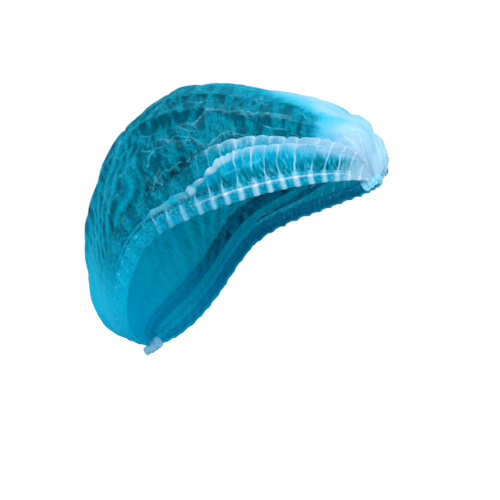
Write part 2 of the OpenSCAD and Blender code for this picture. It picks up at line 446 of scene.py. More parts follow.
def crumpled(points, hold, growth, frames):
    """The points of a grid after the sheet has grown on soft pins: hold is how firmly each one stays."""
    piece = cloth("crumple", points, np.zeros(points.shape[:2] + (2,)), {}, False)
    group = piece.vertex_groups.new(name="hold")
    steps = np.round(np.broadcast_to(hold, points.shape[:2]).ravel() * 50) / 50
    for weight in np.unique(steps):
        group.add(np.flatnonzero(steps == weight).tolist(), float(weight), "REPLACE")
    modifier = piece.modifiers.new("growth", "CLOTH")
    modifier.point_cache.frame_end = frames
    sheet = modifier.settings
    sheet.vertex_group_mass = group.name
    sheet.quality = 6
    sheet.mass = 0.1
    sheet.tension_stiffness = sheet.compression_stiffness = 15
    sheet.shear_stiffness = 5
    sheet.bending_stiffness = 0.005
    sheet.air_damping = 2
    sheet.shrink_min = sheet.shrink_max = -growth
    sheet.effector_weights.gravity = 0
    for step in range(1, frames + 1):
        bpy.context.scene.frame_set(step)
    mesh = piece.evaluated_get(bpy.context.evaluated_depsgraph_get()).to_mesh()
    found = np.empty(points.size)
    mesh.vertices.foreach_get("co", found)
    bpy.data.objects.remove(piece)
    bpy.context.scene.frame_set(1)
    return found.reshape(points.shape) / MM


def finer(grid, parts):
    """The grid with each step along both of its ways cut into parts by a smooth curve through its points."""
    for _ in range(2):
        ends = np.concatenate([2 * grid[:1] - grid[1:2], grid, 2 * grid[-1:] - grid[-2:-1]])
        p, q, r, s = ends[:-3], ends[1:-2], ends[2:-1], ends[3:]
        t = (np.arange(parts) / parts).reshape((1, parts) + (1,) * (grid.ndim - 1))
        p, q, r, s = (x[:, None] for x in (p, q, r, s))
        cut = q + 0.5 * t * (r - p + t * (2 * p - 5 * q + 4 * r - s + t * (3 * (q - r) + s - p)))
        grid = np.concatenate([cut.reshape((-1,) + grid.shape[1:]), grid[-1:]])
        grid = np.swapaxes(grid, 0, 1)
    return grid


def facing(points):
    """Outward direction at each point of a grid whose rows run from the left to the right."""
    n = np.cross(np.gradient(points, axis=1), np.gradient(points, axis=0))
    return n / np.maximum(np.linalg.norm(n, axis=-1, keepdims=True), 1e-9)


def ridges(points, out):
    """How sharply the grid bends outwards at each point, per mm."""
    total = 0
    for axis in (0, 1):
        step = np.gradient(points, axis=axis)
        size = np.maximum(np.linalg.norm(step, axis=-1, keepdims=True), 0.3)
        total = total - np.sum(np.gradient(step / size, axis=axis) / size * out, axis=-1)
    return total


def blurred(grid, passes):
    """The grid averaged with its neighbours again and again."""
    for _ in range(passes):
        for axis in (0, 1):
            place = np.arange(grid.shape[axis])
            before = grid.take(np.maximum(place - 1, 0), axis)
            after = grid.take(np.minimum(place + 1, place[-1]), axis)
            grid = (before + 2 * grid + after) / 4
    return grid


def crease_way(x, y, creases):
    """How far each point is below the nearest crease, in mm, and how strong that crease is."""
    nearest = np.full(x.shape, NO_CREASE)
    strength = np.zeros(x.shape)
    for share, corners in creases:
        for start, end in zip(corners, corners[1:]):
            run, drop = end[0] - start[0], end[1] - start[1]
            along = np.clip(((x - start[0]) * run + (y - start[1]) * drop) / (run ** 2 + drop ** 2), 0, 1)
            below = y - start[1] - along * drop
            way = np.where(below < 0, -1, 1) * np.hypot(x - start[0] - along * run, below)
            closer = np.abs(way) < np.abs(nearest)
            strength = np.where(closer, share, strength)
            nearest = np.where(closer, way, nearest)
    return nearest, strength


def shoulder(below, under, over):
    """1 on a crease, falling off within the given lengths under it and over it."""
    return np.where(below > 0, np.exp(-np.maximum(below, 0) / under), np.exp(np.minimum(below, 0) / over))


def scaled(creases, along, down):
    return [(share, [(p * along, q * down) for p, q in corners]) for share, corners in creases]


def crown_creases(wrinkles, u, v, base):
    wander = 2.0 * wrinkles.soft(base, 24) + 1.6 * wrinkles.soft(base, 9)
    return crease_way(ALONG_L * u, DOWN_L * np.abs(v) + wander, scaled(CROWN_CREASES, ALONG_L, DOWN_L))


def crown_start(wrinkles, u, v, base):
    """Lift of the crown before it crumples, with its folds and laid creases, and of its fine gathers."""
    under = rise(np.abs(v), *SINK)
    grows = rise(np.sin(np.pi * u), *FOLD_GROWS)
    folds = 1 - 2 * np.abs(np.sin(np.pi * fold_phase(wrinkles, v, base))) ** 0.8
    lift = CROWN_FOLD * folds * (1 - under) * grows - 2 * layer_step(u) * under
    lift = lift + front_lift(u, v)
    below, strength = crown_creases(wrinkles, u, v, base)
    fine = np.abs(np.sin(np.pi * gather_phase(wrinkles, u, base))) ** 0.7 - 0.6
    lift = lift + 0.25 * strength * shoulder(below, 8, 1.2)
    return lift, 0.2 * fine * grows + 0.4 * wrinkles.soft(base, 14)


def gather_phase(wrinkles, u, base):
    """Number of fine gathers passed from the front seal."""
    return ALONG_L * u / GATHER_PITCH + 2.2 * wrinkles.soft(base, 34) + 0.7 * wrinkles.soft(base, 13)


def crown_cloths():
    """Both halves of the crown, crumpled as one sheet and parted along the crest."""
    wrinkles = Wrinkles(SEEDS["crown"])
    columns, rows, parts = 150, 90, 2
    low = crown_low_v(plain_stations(columns))[None, :]
    v = np.linspace(-1, 1, rows + 1)[:, None] * low
    u = stations(columns, v)
    base = skin(u, v)
    out = outward(u, v)
    lift, fine = crown_start(wrinkles, u, v, base)
    laid = base + out * lift[..., None]
    tucked = rise(np.abs(v), pleat_v(plain_stations(columns))[None, :] - 0.04, low)
    hold = mix(0.1, 0.6, tucked)
    hold[:2] = hold[-2:] = hold[:, :1] = hold[:, -1:] = 1
    near_crest, near_rear = 1 - rise(np.abs(v) * section_l(u), 0, 42), rear_near(base)
    near_front = np.maximum(front_near(base, 15, 80), 0.8 * near_crest * front_near(base, 45, 150))
    near_front = rise(near_front + 0.3 * wrinkles.soft(base + 5, 14) * near_front, 0.1, 0.9)
    relief = 0.5 * (1 - 0.55 * near_front) * (1 - 0.5 * near_rear) * (1 - 0.6 * near_crest)
    crumple = out * fine[..., None]
    crumple = crumpled(laid + crumple, hold, growth=0.1, frames=26) - laid
    swell = blurred(np.sum(crumple * out, axis=-1), 24)
    points = laid + (crumple - out * swell[..., None]) * relief[..., None]
    points, u, v, near_front, near_rear, near_crest = (
        finer(grid, parts) for grid in (points, u, v, near_front, near_rear, near_crest))

    base = skin(u, v)
    # Painted highlights: paler along the ridges that bend outwards, and a painted light spreading down from
    # each laid crease.
    ridge_highlight = rise(ridges(points, facing(points)), 0.06, 0.5)
    below, strength = crown_creases(wrinkles, u, v, base)
    hatched = mix(0.2, 1, rise(wrinkles.soft(base + 11, 22), -0.3, 0.5))
    halo = strength * shoulder(below, 6, 1.5)
    front_streaks = near_front * mix(0.3, 1, rise(wrinkles.soft(base, 17), -0.3, 0.4))
    marks = {
        "pale": np.clip(np.maximum(0.16 * ridge_highlight + 0.2 * halo, 0.85 * near_front), 0, 1),
        # Painted shade: the sheet is darkest mid-crown, as if the shaded inside showed through it, and
        # lighter along the crest, near the rear seal and at the front.
        "painted_shade": np.clip((1 - near_rear) * (1 - 0.5 * near_crest) * (1 - rise(near_front, 0, 0.45)), 0, 1),
        "fold": np.abs(below) + 1.4 * (1 - strength),
        "crimp": 2 * gather_phase(wrinkles, u, base),
        "drawn": hatched * rise(np.sin(np.pi * u), 0, 0.5) * (1 - near_front) * (1 - near_crest),
        "streak": streak_phase(wrinkles, u, v, base),
        "streaked": np.maximum(0.8 * rise(u, 0.45, 0.60), front_streaks)}
    pattern = np.stack([ALONG_L * u, section_l(u) * v], -1)
    half = rows * parts // 2
    for side, part in (("left", slice(0, half + 1)), ("right", slice(half, None))):
        shown = {mark: values[part] for mark, values in marks.items()}
        yield side, cloth(f"crown_cloth_{side}", points[part], pattern[part], shown, False)


def crimp_phase(wrinkles, t, base, h):
    """Number of crimps passed from the front seal: square to the hem, and wandering more above it."""
    square = mix(0.0009, 0.0011, rise(t, 0.2, 0.45)) * rise(t, 0.02, 0.14) * (h - WELD_H)
    wander = 0.18 * wrinkles.soft(base, 16) * rise(h, 4, 22) + 0.1 * wrinkles.soft(base, 7) * rise(h, 2, 12)
    return CRIMPS * (t + square) + wander + 0.3 * wrinkles.soft(base, 30)


def crimp_waves(wrinkles, t, base, phase):
    """Crimps across the hem and the brim: narrow crests, as a share of a crimp's depth, from 0 to 1."""
    fade = rise(np.minimum(t, 1 - t), 0, 1.3 / CRIMPS) * (1 - 0.6 * rise(t, 0.48, 0.66))
    size = 0.85 + 0.35 * wrinkles.soft(base + 50, 19)
    return ((1 + np.cos(2 * np.pi * phase)) / 2) ** 2.6 * fade * size


def puffs_between(wrinkles, base, phase):
    """Rounded puffs between the crimps, from 0 to 1."""
    return np.abs(np.sin(np.pi * (phase + 0.25 * wrinkles.soft(base + 20, 8)))) ** 0.6


def height_v(u, h, top_h, top_v):
    """The v of a height on the hem and above it, where top_h is at top_v."""
    low = mix(1, hem_v(u), h / HEM_H)
    high = mix(hem_v(u), top_v, (h - HEM_H) / (top_h - HEM_H))
    return np.where(h < HEM_H, low, high)


def rolled_profile(face_rows, bottom, top, roll, tail):
    """Rows of a folded layer as heights and steps inwards: its face, its rolled fold, its return."""
    face = [(h, 0.0) for h in np.linspace(bottom, top - roll, face_rows)]
    turn = [(top - roll + roll * math.sin(a), roll * (1 - math.cos(a))) for a in ROLL_TURNS]
    back = [(top - roll - d, 2 * roll) for d in np.linspace(0, tail, 5)[1:]]
    return np.array(face + turn + back)


def brim_cloth(side):
    """The turned-up brim: gathered sheet, with a scalloped fold that turns into a rope at the side."""
    sign = SIDES[side]
    wrinkles = Wrinkles(SEEDS[side])
    plain = plain_stations(BRIM_COLUMNS)
    t = shares(BRIM_COLUMNS)
    small = off_seals(t)
    back = rear_share(t)
    rows = rolled_profile(34, HEM_H, BRIM_FRONT_H, 1.7, 6)
    inwards = rows[:, 1][:, None] * small
    top = brim_h(plain)[None, :]
    h = mix(HEM_H, top, (rows[:, 0][:, None] - HEM_H) / (BRIM_FRONT_H - HEM_H))
    share = np.clip((h - HEM_H) / (top - HEM_H), 0, 1)

    first = sign * height_v(plain[None, :], h, top, brim_v(plain)[None, :])
    base = skin(stations(BRIM_COLUMNS, first), first)
    phase = crimp_phase(wrinkles, t, base, h)
    beaded = rise(t, 0.27, 0.36) * (1 - back)
    twist = beaded * (0.3 * phase + 0.09 * (1 - share) * (top - HEM_H))
    puffs = puffs_between(wrinkles, base, phase + twist)
    jagged = 1.1 * wrinkles.soft(base, 15) + 1.2 * beaded * wrinkles.soft(base + 20, 6)
    scallop = (1.6 * (puffs - 0.6) + jagged) * rise(share, 0.5, 1) * small - 3 * back * share
    v = sign * height_v(plain[None, :], h + scallop, top, brim_v(plain)[None, :])
    u = stations(BRIM_COLUMNS, v)
    base = skin(u, v)

    waves = crimp_waves(wrinkles, t, base, phase)
    under_top = (1 - share) * (top - HEM_H)
    ridge = bell(under_top, mix(2.8, 3.4, rise(t, 0.26, 0.38))) * (1 - back)
    depth = CRIMP_DEPTH * mix(1.5, 0.8, rise(share, 0, 0.4))
    knots = wrinkles.soft(base + 40, 5)
    bead = ridge * ((FOLD_ROLL + 0.4) * mix(0.8, 1.05, puffs) + 0.9 * beaded * knots)
    puff = 0.7 * np.sin(np.pi * share) * wrinkles.soft(base, 18)
    rough = wrinkles.crinkles(base)
    lift = (depth * (waves - 0.3) + bead + puff + rough - 3.2 * back * rise(share, 0.3, 1)) * small - inwards
    lift = lift + front_lift(u, v)
    points = base + outward(u, v) * lift[..., None]

    # Paler along the top fold, where the sheet lies double, with painted highlights on the crimp crests.
    # Along the rope the paleness is painted brighter on each puff and darker in the gaps between, a painted
    # shade.
    lined = 0.15 * bell(under_top, 1.8) + bell(under_top, 7) * mix(0.5, 0.75, waves)
    rope = (1 - rise(under_top, 2.5, 6.5 + 2 * knots)) * mix(0.42, 0.95, puffs)
    rope = rope * (1 - 0.6 * rise(t, 0.40, 0.5)) * mix(0.45, 1.1, rise(knots, -0.4, 0.35))
    edging = mix(lined * (1 - back), rope, beaded)
    along, down = np.broadcast_arrays(BRIM_L * t, BRIM_DOWN_L * share)
    below, strength = crease_way(along, down, scaled(BRIM_CREASES, BRIM_L, BRIM_DOWN_L))
    shown = mix(0.25, 0.8, rise(wrinkles.soft(base + 33, 13), -0.3, 0.5))
    front = 0.75 * np.maximum(front_near(base, 10, 45), front_near(base, 25, 105) * bell(under_top, 12))
    drawn = mix(1.0, shown, rise(h, 11, 22)) * (1 - 0.7 * back) * (1 - beaded * bell(under_top, 6))
    marks = {
        "pale": np.clip(np.maximum(edging, front), 0, 1),
        # Painted shade: darker towards the hem, except near the rear seal.
        "painted_shade": np.clip((1 - rear_near(base)) * mix(0.8, 0.15, rise(share, 0.2, 0.9)), 0, 1),
        "fold": np.abs(below) + 1.4 * (1 - strength),
        "crimp": phase,
        "drawn": drawn * small,
        "band": mix(0.28, 0.5, bump((t - 0.24) / 0.22)) * (1 - rise(h, 7, 19)) * (1 - 0.6 * back)}
    return cloth(f"brim_cloth_{side}", points, pattern_of(points), marks, sign > 0)


def pleat_cloth(side):
    """The pleat behind the brim: it shows above it at the front and sinks away at the rear."""
    sign = SIDES[side]
    wrinkles = Wrinkles(SEEDS[side] + 1)
    plain = plain_stations(PLEAT_COLUMNS)
    t = shares(PLEAT_COLUMNS)
    small = off_seals(t)
    shown = 1 - rise(t, 0.30, 0.44)
    rows = rolled_profile(24, 0, 1, 0.045, 0.2)
    share = rows[:, 0][:, None]
    inwards = rows[:, 1][:, None] * 26 * small
    low, high = pleat_low_v(plain)[None, :], pleat_v(plain)[None, :]
    first = sign * mix(low, high, share)
    base = skin(stations(PLEAT_COLUMNS, first), first)
    tall = section_l(plain)[None, :] * np.abs(high - low)
    phase = crimp_phase(wrinkles, t, base, mix(26, 46, share))
    puffs = puffs_between(wrinkles, base, phase)
    scallop = (1.5 * (puffs - 0.6) + 1.1 * wrinkles.soft(base, 17)) / tall * rise(share, 0.6, 1) * small
    v = sign * mix(low, high, share + scallop)
    u = stations(PLEAT_COLUMNS, v)
    base = skin(u, v)

    waves = crimp_waves(wrinkles, t, base, phase)
    ridge = bell((1 - np.minimum(share, 1)) * tall, 3.2) * shown
    sink = 3.4 * (1 - shown) * rise(share, 0.35, 1)
    rough = wrinkles.crinkles(base) * rise(share, 0.4, 0.7)
    bead = (FOLD_ROLL + 0.6) * ridge * mix(0.5, 1.1, puffs)
    lift = small * (0.9 * (waves - 0.3) * mix(0.5, 1, shown) + bead + rough - sink) - layer_step(u) - inwards
    lift = lift + front_lift(u, v)
    points = base + outward(u, v) * lift[..., None]

    below, strength = crown_creases(wrinkles, u, v, base)
    under_top = (1 - np.minimum(share, 1)) * tall
    # Paler along the top fold, where the sheet lies double, with painted highlights on the crimp crests.
    edging = (0.1 * bell(under_top, 1.4) + bell(under_top, 6) * mix(0.42, 0.7, waves)) * shown
    marks = {
        "pale": np.clip(np.maximum(edging, 0.9 * front_near(base, 25, 115)), 0, 1),
        # Painted shade: darker where the pleat sinks under the brim.
        "painted_shade": np.clip((1 - rear_near(base)) * mix(0.8, 0.3, shown), 0, 1),
        "fold": np.abs(below) + 1.4 * (1 - strength),
        "crimp": phase,
        "drawn": mix(0.2, 0.5, shown) * small}
    return cloth(f"pleat_cloth_{side}", points, pattern_of(points), marks, sign > 0)


def hem_lift(wrinkles, t, base, h):
    """Lift of the hem's outer face: the strands inside draw it in and show through."""
    waves = crimp_waves(wrinkles, t, base, crimp_phase(wrinkles, t, base, h))
    strand = bell(h - ELASTIC_HEIGHTS["lower"], 1.3) + bell(h - ELASTIC_HEIGHTS["upper"], 1.3)
    return CRIMP_DEPTH * 1.5 * (waves - 0.3) + 0.25 * strand - 0.35 * bell(h - HEM_LINE_H, 0.9)


def hem_cloth(side):
    """The hem: crimped sheet, folded under at its lower edge round the two strands."""
    sign = SIDES[side]
    wrinkles = Wrinkles(SEEDS[side])
    plain = plain_stations(BRIM_COLUMNS)
    t = shares(BRIM_COLUMNS)
    small = off_seals(t)
    back = rear_share(t)
    roll = (SHEET_T * 2 + HEM_GAP) / 2 - 0.2
    outer = [(h, 0.0) for h in np.linspace(HEM_H, roll, 20)]
    turn = [(roll - roll * math.sin(a), roll * (1 - math.cos(a))) for a in ROLL_TURNS]
    inner = [(h, 2 * roll) for h in np.linspace(roll, HEM_H - SHEET_T, 12)[1:]]
    rows = np.array(outer + turn + inner)
    h = rows[:, 0][:, None] + 0 * t
    inwards = rows[:, 1][:, None]
    top = brim_h(plain)[None, :]
    v = sign * height_v(plain[None, :], h, top, brim_v(plain)[None, :])
    u = stations(BRIM_COLUMNS, v)
    base = skin(u, v)
    rough = wrinkles.crinkles(base)
    lift = small * (hem_lift(wrinkles, t, base, h) + rough) + front_lift(u, v)
    points = base + outward(u, v) * (lift - inwards * mix(0.3, 1, small))[..., None]

    shown = 1 - rise(inwards, 0.2, 1.2)
    line = bell(h - HEM_LINE_H, 0.8) * (1 - rise(t, 0.36, 0.5))
    marks = {
        "pale": np.clip(np.maximum(0.8 * line * mix(0.4, 1, shown), 0.75 * front_near(base, 12, 50)), 0, 1),
        # Painted shade: the hem a little darker, except near the rear seal.
        "painted_shade": np.clip((1 - rear_near(base)) * 0.4, 0, 1),
        "fold": NO_CREASE,
        "crimp": crimp_phase(wrinkles, t, base, h),
        "drawn": mix(0.5, 1, shown) * mix(0.7, 1, rise(h, 0, 8)) * (1 - 0.75 * back) * small,
        "band": mix(0.25, 0.5, bump((t - 0.24) / 0.22)) * shown * (1 - rise(h, 7, 19)) * (1 - 0.6 * back)}
    return cloth(f"hem_cloth_{side}", points, pattern_of(points), marks, sign < 0)


def elastic_strand(side, level):
    """A flat ribbed strand in the hem's clear space, closed at both ends."""
    sign = SIDES[side]
    wrinkles = Wrinkles(SEEDS[side])
    t = shares(BRIM_COLUMNS)
    plain = plain_stations(BRIM_COLUMNS)
    small = off_seals(t)
    turns = np.linspace(0, 2 * math.pi, 13)[:, None]
    h = ELASTIC_HEIGHTS[level] + ELASTIC_W / 2 * np.cos(turns) + 0 * t
    v = sign * mix(1, hem_v(plain)[None, :], h / HEM_H)
    u = stations(BRIM_COLUMNS, v)
    base = skin(u, v)
    lift = hem_lift(wrinkles, t, base, ELASTIC_HEIGHTS[level] + 0 * h)
    depth = SHEET_T + HEM_GAP / 2 - 0.2
    lift = lift * small - depth * mix(0.3, 1, small) + ELASTIC_T / 2 * np.sin(turns) + front_lift(u, v)
    points = base + outward(u, v) * lift[..., None]
    return cloth(f"{level}_elastic_{side}", points, pattern_of(points), {}, sign < 0)


def weld_spots(side):
    """Pressed spots on the crimps that close the hem above its strands."""
    sign = SIDES[side]
    wrinkles = Wrinkles(SEEDS[side])
    verts, faces = [], []
    rings = [(math.sin(a), math.cos(a)) for a in np.linspace(0.15, math.pi - 0.15, 7)]
    around = 16
    for k in range(2, CRIMPS - 1):
        t = np.array([[k / CRIMPS]])
        plain = np.clip(t, 0.01, 0.99)
        v = sign * mix(1, hem_v(plain), WELD_H / HEM_H)
        ring = stations(BRIM_COLUMNS, v)[:, :1]
        u = mix(ring, 1 - ring, t)
        base = skin(u, v)
        lift = hem_lift(wrinkles, t, base, np.array([[WELD_H]])) + front_lift(u, v)
        out = outward(u, v)[0, 0]
        along = skin(u + 0.001, v)[0, 0] - skin(u - 0.001, v)[0, 0]
        along = along / np.linalg.norm(along)
        across = np.cross(out, along)
        centre = base[0, 0] + out * (lift[0, 0] - SHEET_T)
        start = len(verts)
        for wide, high in rings:
            for a in np.linspace(0, 2 * math.pi, around, endpoint=False):
                spread = along * math.cos(a) + across * math.sin(a)
                verts.append((centre + spread * WELD_R * 1.3 * wide + out * high * 1.5) * MM)
        for i in range(len(rings) - 1):
            for j in range(around):
                p, q = start + i * around + j, start + i * around + (j + 1) % around
                faces.append((p, p + around, q + around, q))
        faces.append([start + j for j in range(around)])
        last = start + (len(rings) - 1) * around
        faces.append([last + j for j in reversed(range(around))])
    mesh = bpy.data.meshes.new(f"weld_spots_{side}")
    mesh.from_pydata(verts, [], faces)
    mesh.shade_smooth()
    return linked(mesh.name, mesh)


def end_knot(place):
    """The pleats welded into one stub, ribbed along its length and pressed in three bands."""
    sign = -1 if place == "front" else 1
    around, length, ribs = 96, 42, 13
    a = np.linspace(0, 2 * math.pi, around + 1)[None, :]
    s = np.linspace(-0.04, 1.04, length)[:, None]
    inside = np.clip(s, 0, 1)
    close = np.sqrt(np.clip(1 - np.maximum(np.abs(s - 0.5) - 0.5, 0) / 0.04, 0, 1))
    band = bump((np.mod(inside * 4 + 0.5, 1) - 0.5) / 0.3) * rise(np.minimum(inside, 1 - inside), 0.12, 0.2)
    rib = np.abs(np.cos(ribs / 2 * a + 0.5 * np.sin(3 * a))) ** 0.6
    r = (SEAL_R + 0.1) * (1 - 0.14 * band) + 0.6 * (rib - 0.6) * (1 - 0.5 * band)
    r = r * mix(1.0, 0.7, rise(inside, 0.5, 1)) * close
    flat = mix(1, 0.8, rise(inside, 0.5, 1))
    along = sign * (HALF_L - SEAL_INSIDE + SEAL_L * inside) + 0 * a
    points = to_frame(r * np.cos(a) * flat, along, r * np.sin(a))
    return cloth(f"{place}_end_knot", points, pattern_of(points), {}, sign > 0)


def operator(operation, turned=False):
    """A method that adds one Math node."""
    def apply(self, other):
        pair = (other, self) if turned else (self, other)
        return self.finish.node("ShaderNodeMath", {"operation": operation}, dict(enumerate(pair)))
    return apply


class Value:
    """A shader socket that works in sums as a number does."""

    def __init__(self, finish, socket):
        self.finish = finish
        self.socket = socket

    __add__, __radd__ = operator("ADD"), operator("ADD", True)
    __sub__, __rsub__ = operator("SUBTRACT"), operator("SUBTRACT", True)
    __mul__, __rmul__ = operator("MULTIPLY"), operator("MULTIPLY", True)
    most = operator("MAXIMUM")


class Finish:
    """A material under construction."""

    def __init__(self, name):
        self.material = bpy.data.materials.new(name)
        self.material.use_nodes = True
        self.tree = self.material.node_tree
        self.tree.nodes.clear()

    def node(self, kind, settings, sockets, output=0):
        """A node of any type with its settings and sockets, as the value of one of its outputs."""
        made = self.tree.nodes.new(kind)
        for key, value in settings.items():
            setattr(made, key, value)
        for key, value in sockets.items():
            if isinstance(value, Value):
                self.tree.links.new(value.socket, made.inputs[key])
            else:
                made.inputs[key].default_value = value
        return Value(self, made.outputs[output])

    def blend(self, first, second, share):
        """A colour between two colours."""
        return self.node("ShaderNodeMix", {"data_type": "RGBA"}, {0: share, 6: first, 7: second}, 2)

    def ramp(self, value, low, high):
        """0 below low, 1 above high, smooth between."""
        settings = {"interpolation_type": "SMOOTHSTEP"}
        return self.node("ShaderNodeMapRange", settings, {0: value, 1: low, 2: high, 3: 0.0, 4: 1.0})

    def vector(self, operation, *parts):
        return self.node("ShaderNodeVectorMath", {"operation": operation}, dict(enumerate(parts)))

    def noise(self, where, scale, detail, output=0):
        sockets = {"Vector": where, "Scale": scale, "Detail": detail}
        return self.node("ShaderNodeTexNoise", {"noise_dimensions": "2D"}, sockets, output)

    def wave(self, value):
        return self.node("ShaderNodeMath", {"operation": "SINE"}, {0: value})

    def off_whole(self, value):
        """How far a value is from the nearest whole number."""
        return self.node("ShaderNodeMath", {"operation": "PINGPONG"}, {0: value, 1: 0.5})

    def bumped(self, strength, depth, height):
        sockets = {"Strength": strength, "Distance": depth, "Height": height}
        return self.node("ShaderNodeBump", {}, sockets)

    def mark(self, name):
        return self.node("ShaderNodeAttribute", {"attribute_name": name}, {}, 2)

    def output(self, shader):
        end = self.tree.nodes.new("ShaderNodeOutputMaterial")
        self.tree.links.new(shader.socket, end.inputs["Surface"])
        return self.material


def colour(red, green, blue):
    """A colour given in display values from 0 to 255, as the shader's linear values."""
    def linear(x):
        x = x / 255
        return x / 12.92 if x <= 0.04045 else ((x + 0.055) / 1.055) ** 2.4
    return (linear(red), linear(green), linear(blue), 1)


DEEP_TEAL = colour(0, 38, 46)
TEAL = colour(0, 121, 145)
CYAN = colour(0, 188, 228)
CREASE = colour(70, 200, 236)
AQUA = (0.0, 0.62, 0.8, 1)
ICE = colour(160, 204, 228)
SNOW = colour(226, 242, 252)
GLOW = colour(0, 186, 221)

# What the points of a sheet say of it, painted shade among them
MARKS = ("pale", "painted_shade", "drawn", "crimp", "band", "fold", "streak", "streaked")

# Spacing in mm of the sheet's bond points and of the ribs of an elastic strand
BOND_PITCH = 2.3
RIB_PITCH = 0.8


def nonwoven(name, creased, lined):
    """Thin spun-bonded sheet: cloudy fibres, pressed bond points, paler where it is folded and creased, with
    painted highlights and painted shade from the marks on its points.
    """
    sheet = Finish(name)
    where = sheet.node("ShaderNodeUVMap", {"uv_map": "sheet"}, {})
    bent = sheet.noise(where, 0.045, 1.5, 1)
    warped = sheet.vector("MULTIPLY_ADD", bent, (16.0, 16.0, 16.0), where)
    cloud = sheet.noise(where, 0.11, 5.0)
    fibre = sheet.noise(where, 1.3, 4.0)
    speck = sheet.noise(where, 0.45, 3.0)
    across = sheet.node("ShaderNodeSeparateXYZ", {}, {0: where}, 0)
    down = sheet.node("ShaderNodeSeparateXYZ", {}, {0: where}, 1)
    turn = 2 * math.pi / BOND_PITCH
    dots = sheet.ramp(sheet.wave(across * turn) * sheet.wave(down * turn), 0.45, 0.9)
    creases = 0.0
    for size, width, share in (((0.04, 0.09, 1.0), 0.09, 0.2), ((0.018, 0.05, 1.0), 0.06, 0.4)):
        drawn_out = sheet.vector("MULTIPLY", warped, size)
        flat = {"voronoi_dimensions": "2D"}
        cells = {"Vector": drawn_out, "Scale": 1.0}
        edges = sheet.node("ShaderNodeTexVoronoi", flat | {"feature": "DISTANCE_TO_EDGE"}, cells)
        panel = sheet.node("ShaderNodeTexVoronoi", flat, cells, 1)
        some = sheet.ramp(sheet.noise(where, 0.04, 1.0), 0.32, 0.62)
        creases = (1 - sheet.ramp(edges, 0.0, width)) * some * share * creased + creases
    hung = sheet.vector("MULTIPLY", where, (0.14, 0.04, 1.0))
    hung = sheet.vector("MULTIPLY_ADD", panel, (20.0, 20.0, 20.0), hung)
    curtain = sheet.noise(hung, 1.0, 3.0)
    pale, painted_shade, drawn, crimp, band, fold, streak, streaked = (sheet.mark(name) for name in MARKS)
    away = sheet.off_whole(crimp)
    broken = sheet.ramp(cloud * 0.6 + speck * 0.4, 0.26, 0.53)
    # Pale lines at the crimps, broad bands of them near the hem and faint threads between: partly the sheet
    # folded double there, partly a painted highlight on each crest.
    crimps = (1 - sheet.ramp(away, 0.0, 0.1)) * drawn * broken * 0.93
    posts = (1 - sheet.ramp(away + (speck - 0.5) * 0.2, 0.04, 0.34)) * sheet.ramp(band, 0.0, 0.5)
    between = sheet.off_whole(crimp * 3.0 + cloud * 1.6)
    threads = (1 - sheet.ramp(between, 0.0, 0.16)) * drawn * sheet.ramp(speck, 0.35, 0.6) * 0.4
    crimps = crimps.most(posts).most(threads)
    laid = (1 - sheet.ramp(fold + (fibre - 0.5) * 0.8, 0.1, 1.0)) * sheet.ramp(cloud, 0.25, 0.6)
    streaks = (1 - sheet.ramp(sheet.off_whole(streak) + (cloud - 0.5) * 0.3, 0.0, 0.4)) * streaked
    creases = (creases * (1 - pale) * (painted_shade * 0.7 + 0.3)).most(laid * 0.5)
    white = pale + crimps * lined * 0.8
    # Painted light and shade in stripes along the fine gathers.
    gather_shade = (away - 0.25) * drawn * (1 - lined) * 0.25
    dark = sheet.ramp(curtain * 0.7 + cloud * 0.3 - gather_shade, 0.42, 0.58)
    # Painted shade: where marked, the sheet takes the darker teals and more dark specks instead of the
    # bright cyan.
    body = sheet.blend(CYAN, sheet.blend(DEEP_TEAL, TEAL, dark), painted_shade)
    body = sheet.blend(body, DEEP_TEAL, (1 - sheet.ramp(speck, 0.34, 0.6)) * (painted_shade * 0.45 + 0.15))
    body = sheet.blend(body, CYAN, streaks * 0.6)
    flecks = sheet.ramp(speck * 0.6 + fibre * 0.4, 0.5, 0.68) * drawn
    body = sheet.blend(body, CREASE, flecks * lined * 0.6)
    raised = creases.most(crimps * lined)
    body = sheet.blend(body, CREASE, sheet.ramp(raised + (cloud - 0.5) * 0.2, 0.05, 0.9))
    body = sheet.blend(body, ICE, sheet.ramp(white + (cloud - 0.5) * pale * 0.8, 0.08, 0.85))
    snowy = white * 0.9 + laid * 0.1 + (laid * 0.45 + streaks * 0.22) * pale
    body = sheet.blend(body, SNOW, sheet.ramp(snowy, 0.75, 1.2))
    body = sheet.blend(body, TEAL, dots * 0.12)
    height = raised * 0.5 + fibre * 0.22 - dots * 0.12 + cloud * 0.3
    normal = sheet.bumped(0.55, 0.0009, height)
    fabric = sheet.node("ShaderNodeBsdfPrincipled", {}, {
        "Base Color": body, "Roughness": 0.5 + fibre * 0.25, "Normal": normal,
        "Sheen Weight": 0.45, "Sheen Roughness": 0.4, "Sheen Tint": AQUA,
        "Specular IOR Level": 0.05, "Specular Tint": AQUA})
    glow = sheet.node("ShaderNodeBsdfTranslucent", {}, {"Color": GLOW})
    return sheet.output(sheet.node("ShaderNodeMixShader", {}, {0: 0.25, 1: fabric, 2: glow}))


def rubber():
    """Matt pale elastic with fine ribs across the strand."""
    strand = Finish("elastic")
    where = strand.node("ShaderNodeUVMap", {"uv_map": "sheet"}, {})
    along = strand.node("ShaderNodeSeparateXYZ", {}, {0: where}, 0)
    ribs = strand.wave(along * (2 * math.pi / RIB_PITCH))
    grain = strand.noise(where, 3.0, 3.0)
    shade = strand.ramp(ribs * 0.3 + grain, 0.2, 0.8)
    tone = strand.blend(colour(214, 226, 232), colour(246, 250, 252), shade)
    normal = strand.bumped(0.5, 0.0003, ribs * 0.5 + grain)
    return strand.output(strand.node("ShaderNodeBsdfPrincipled", {}, {
        "Base Color": tone, "Roughness": 0.55 + grain * 0.2, "Normal": normal}))


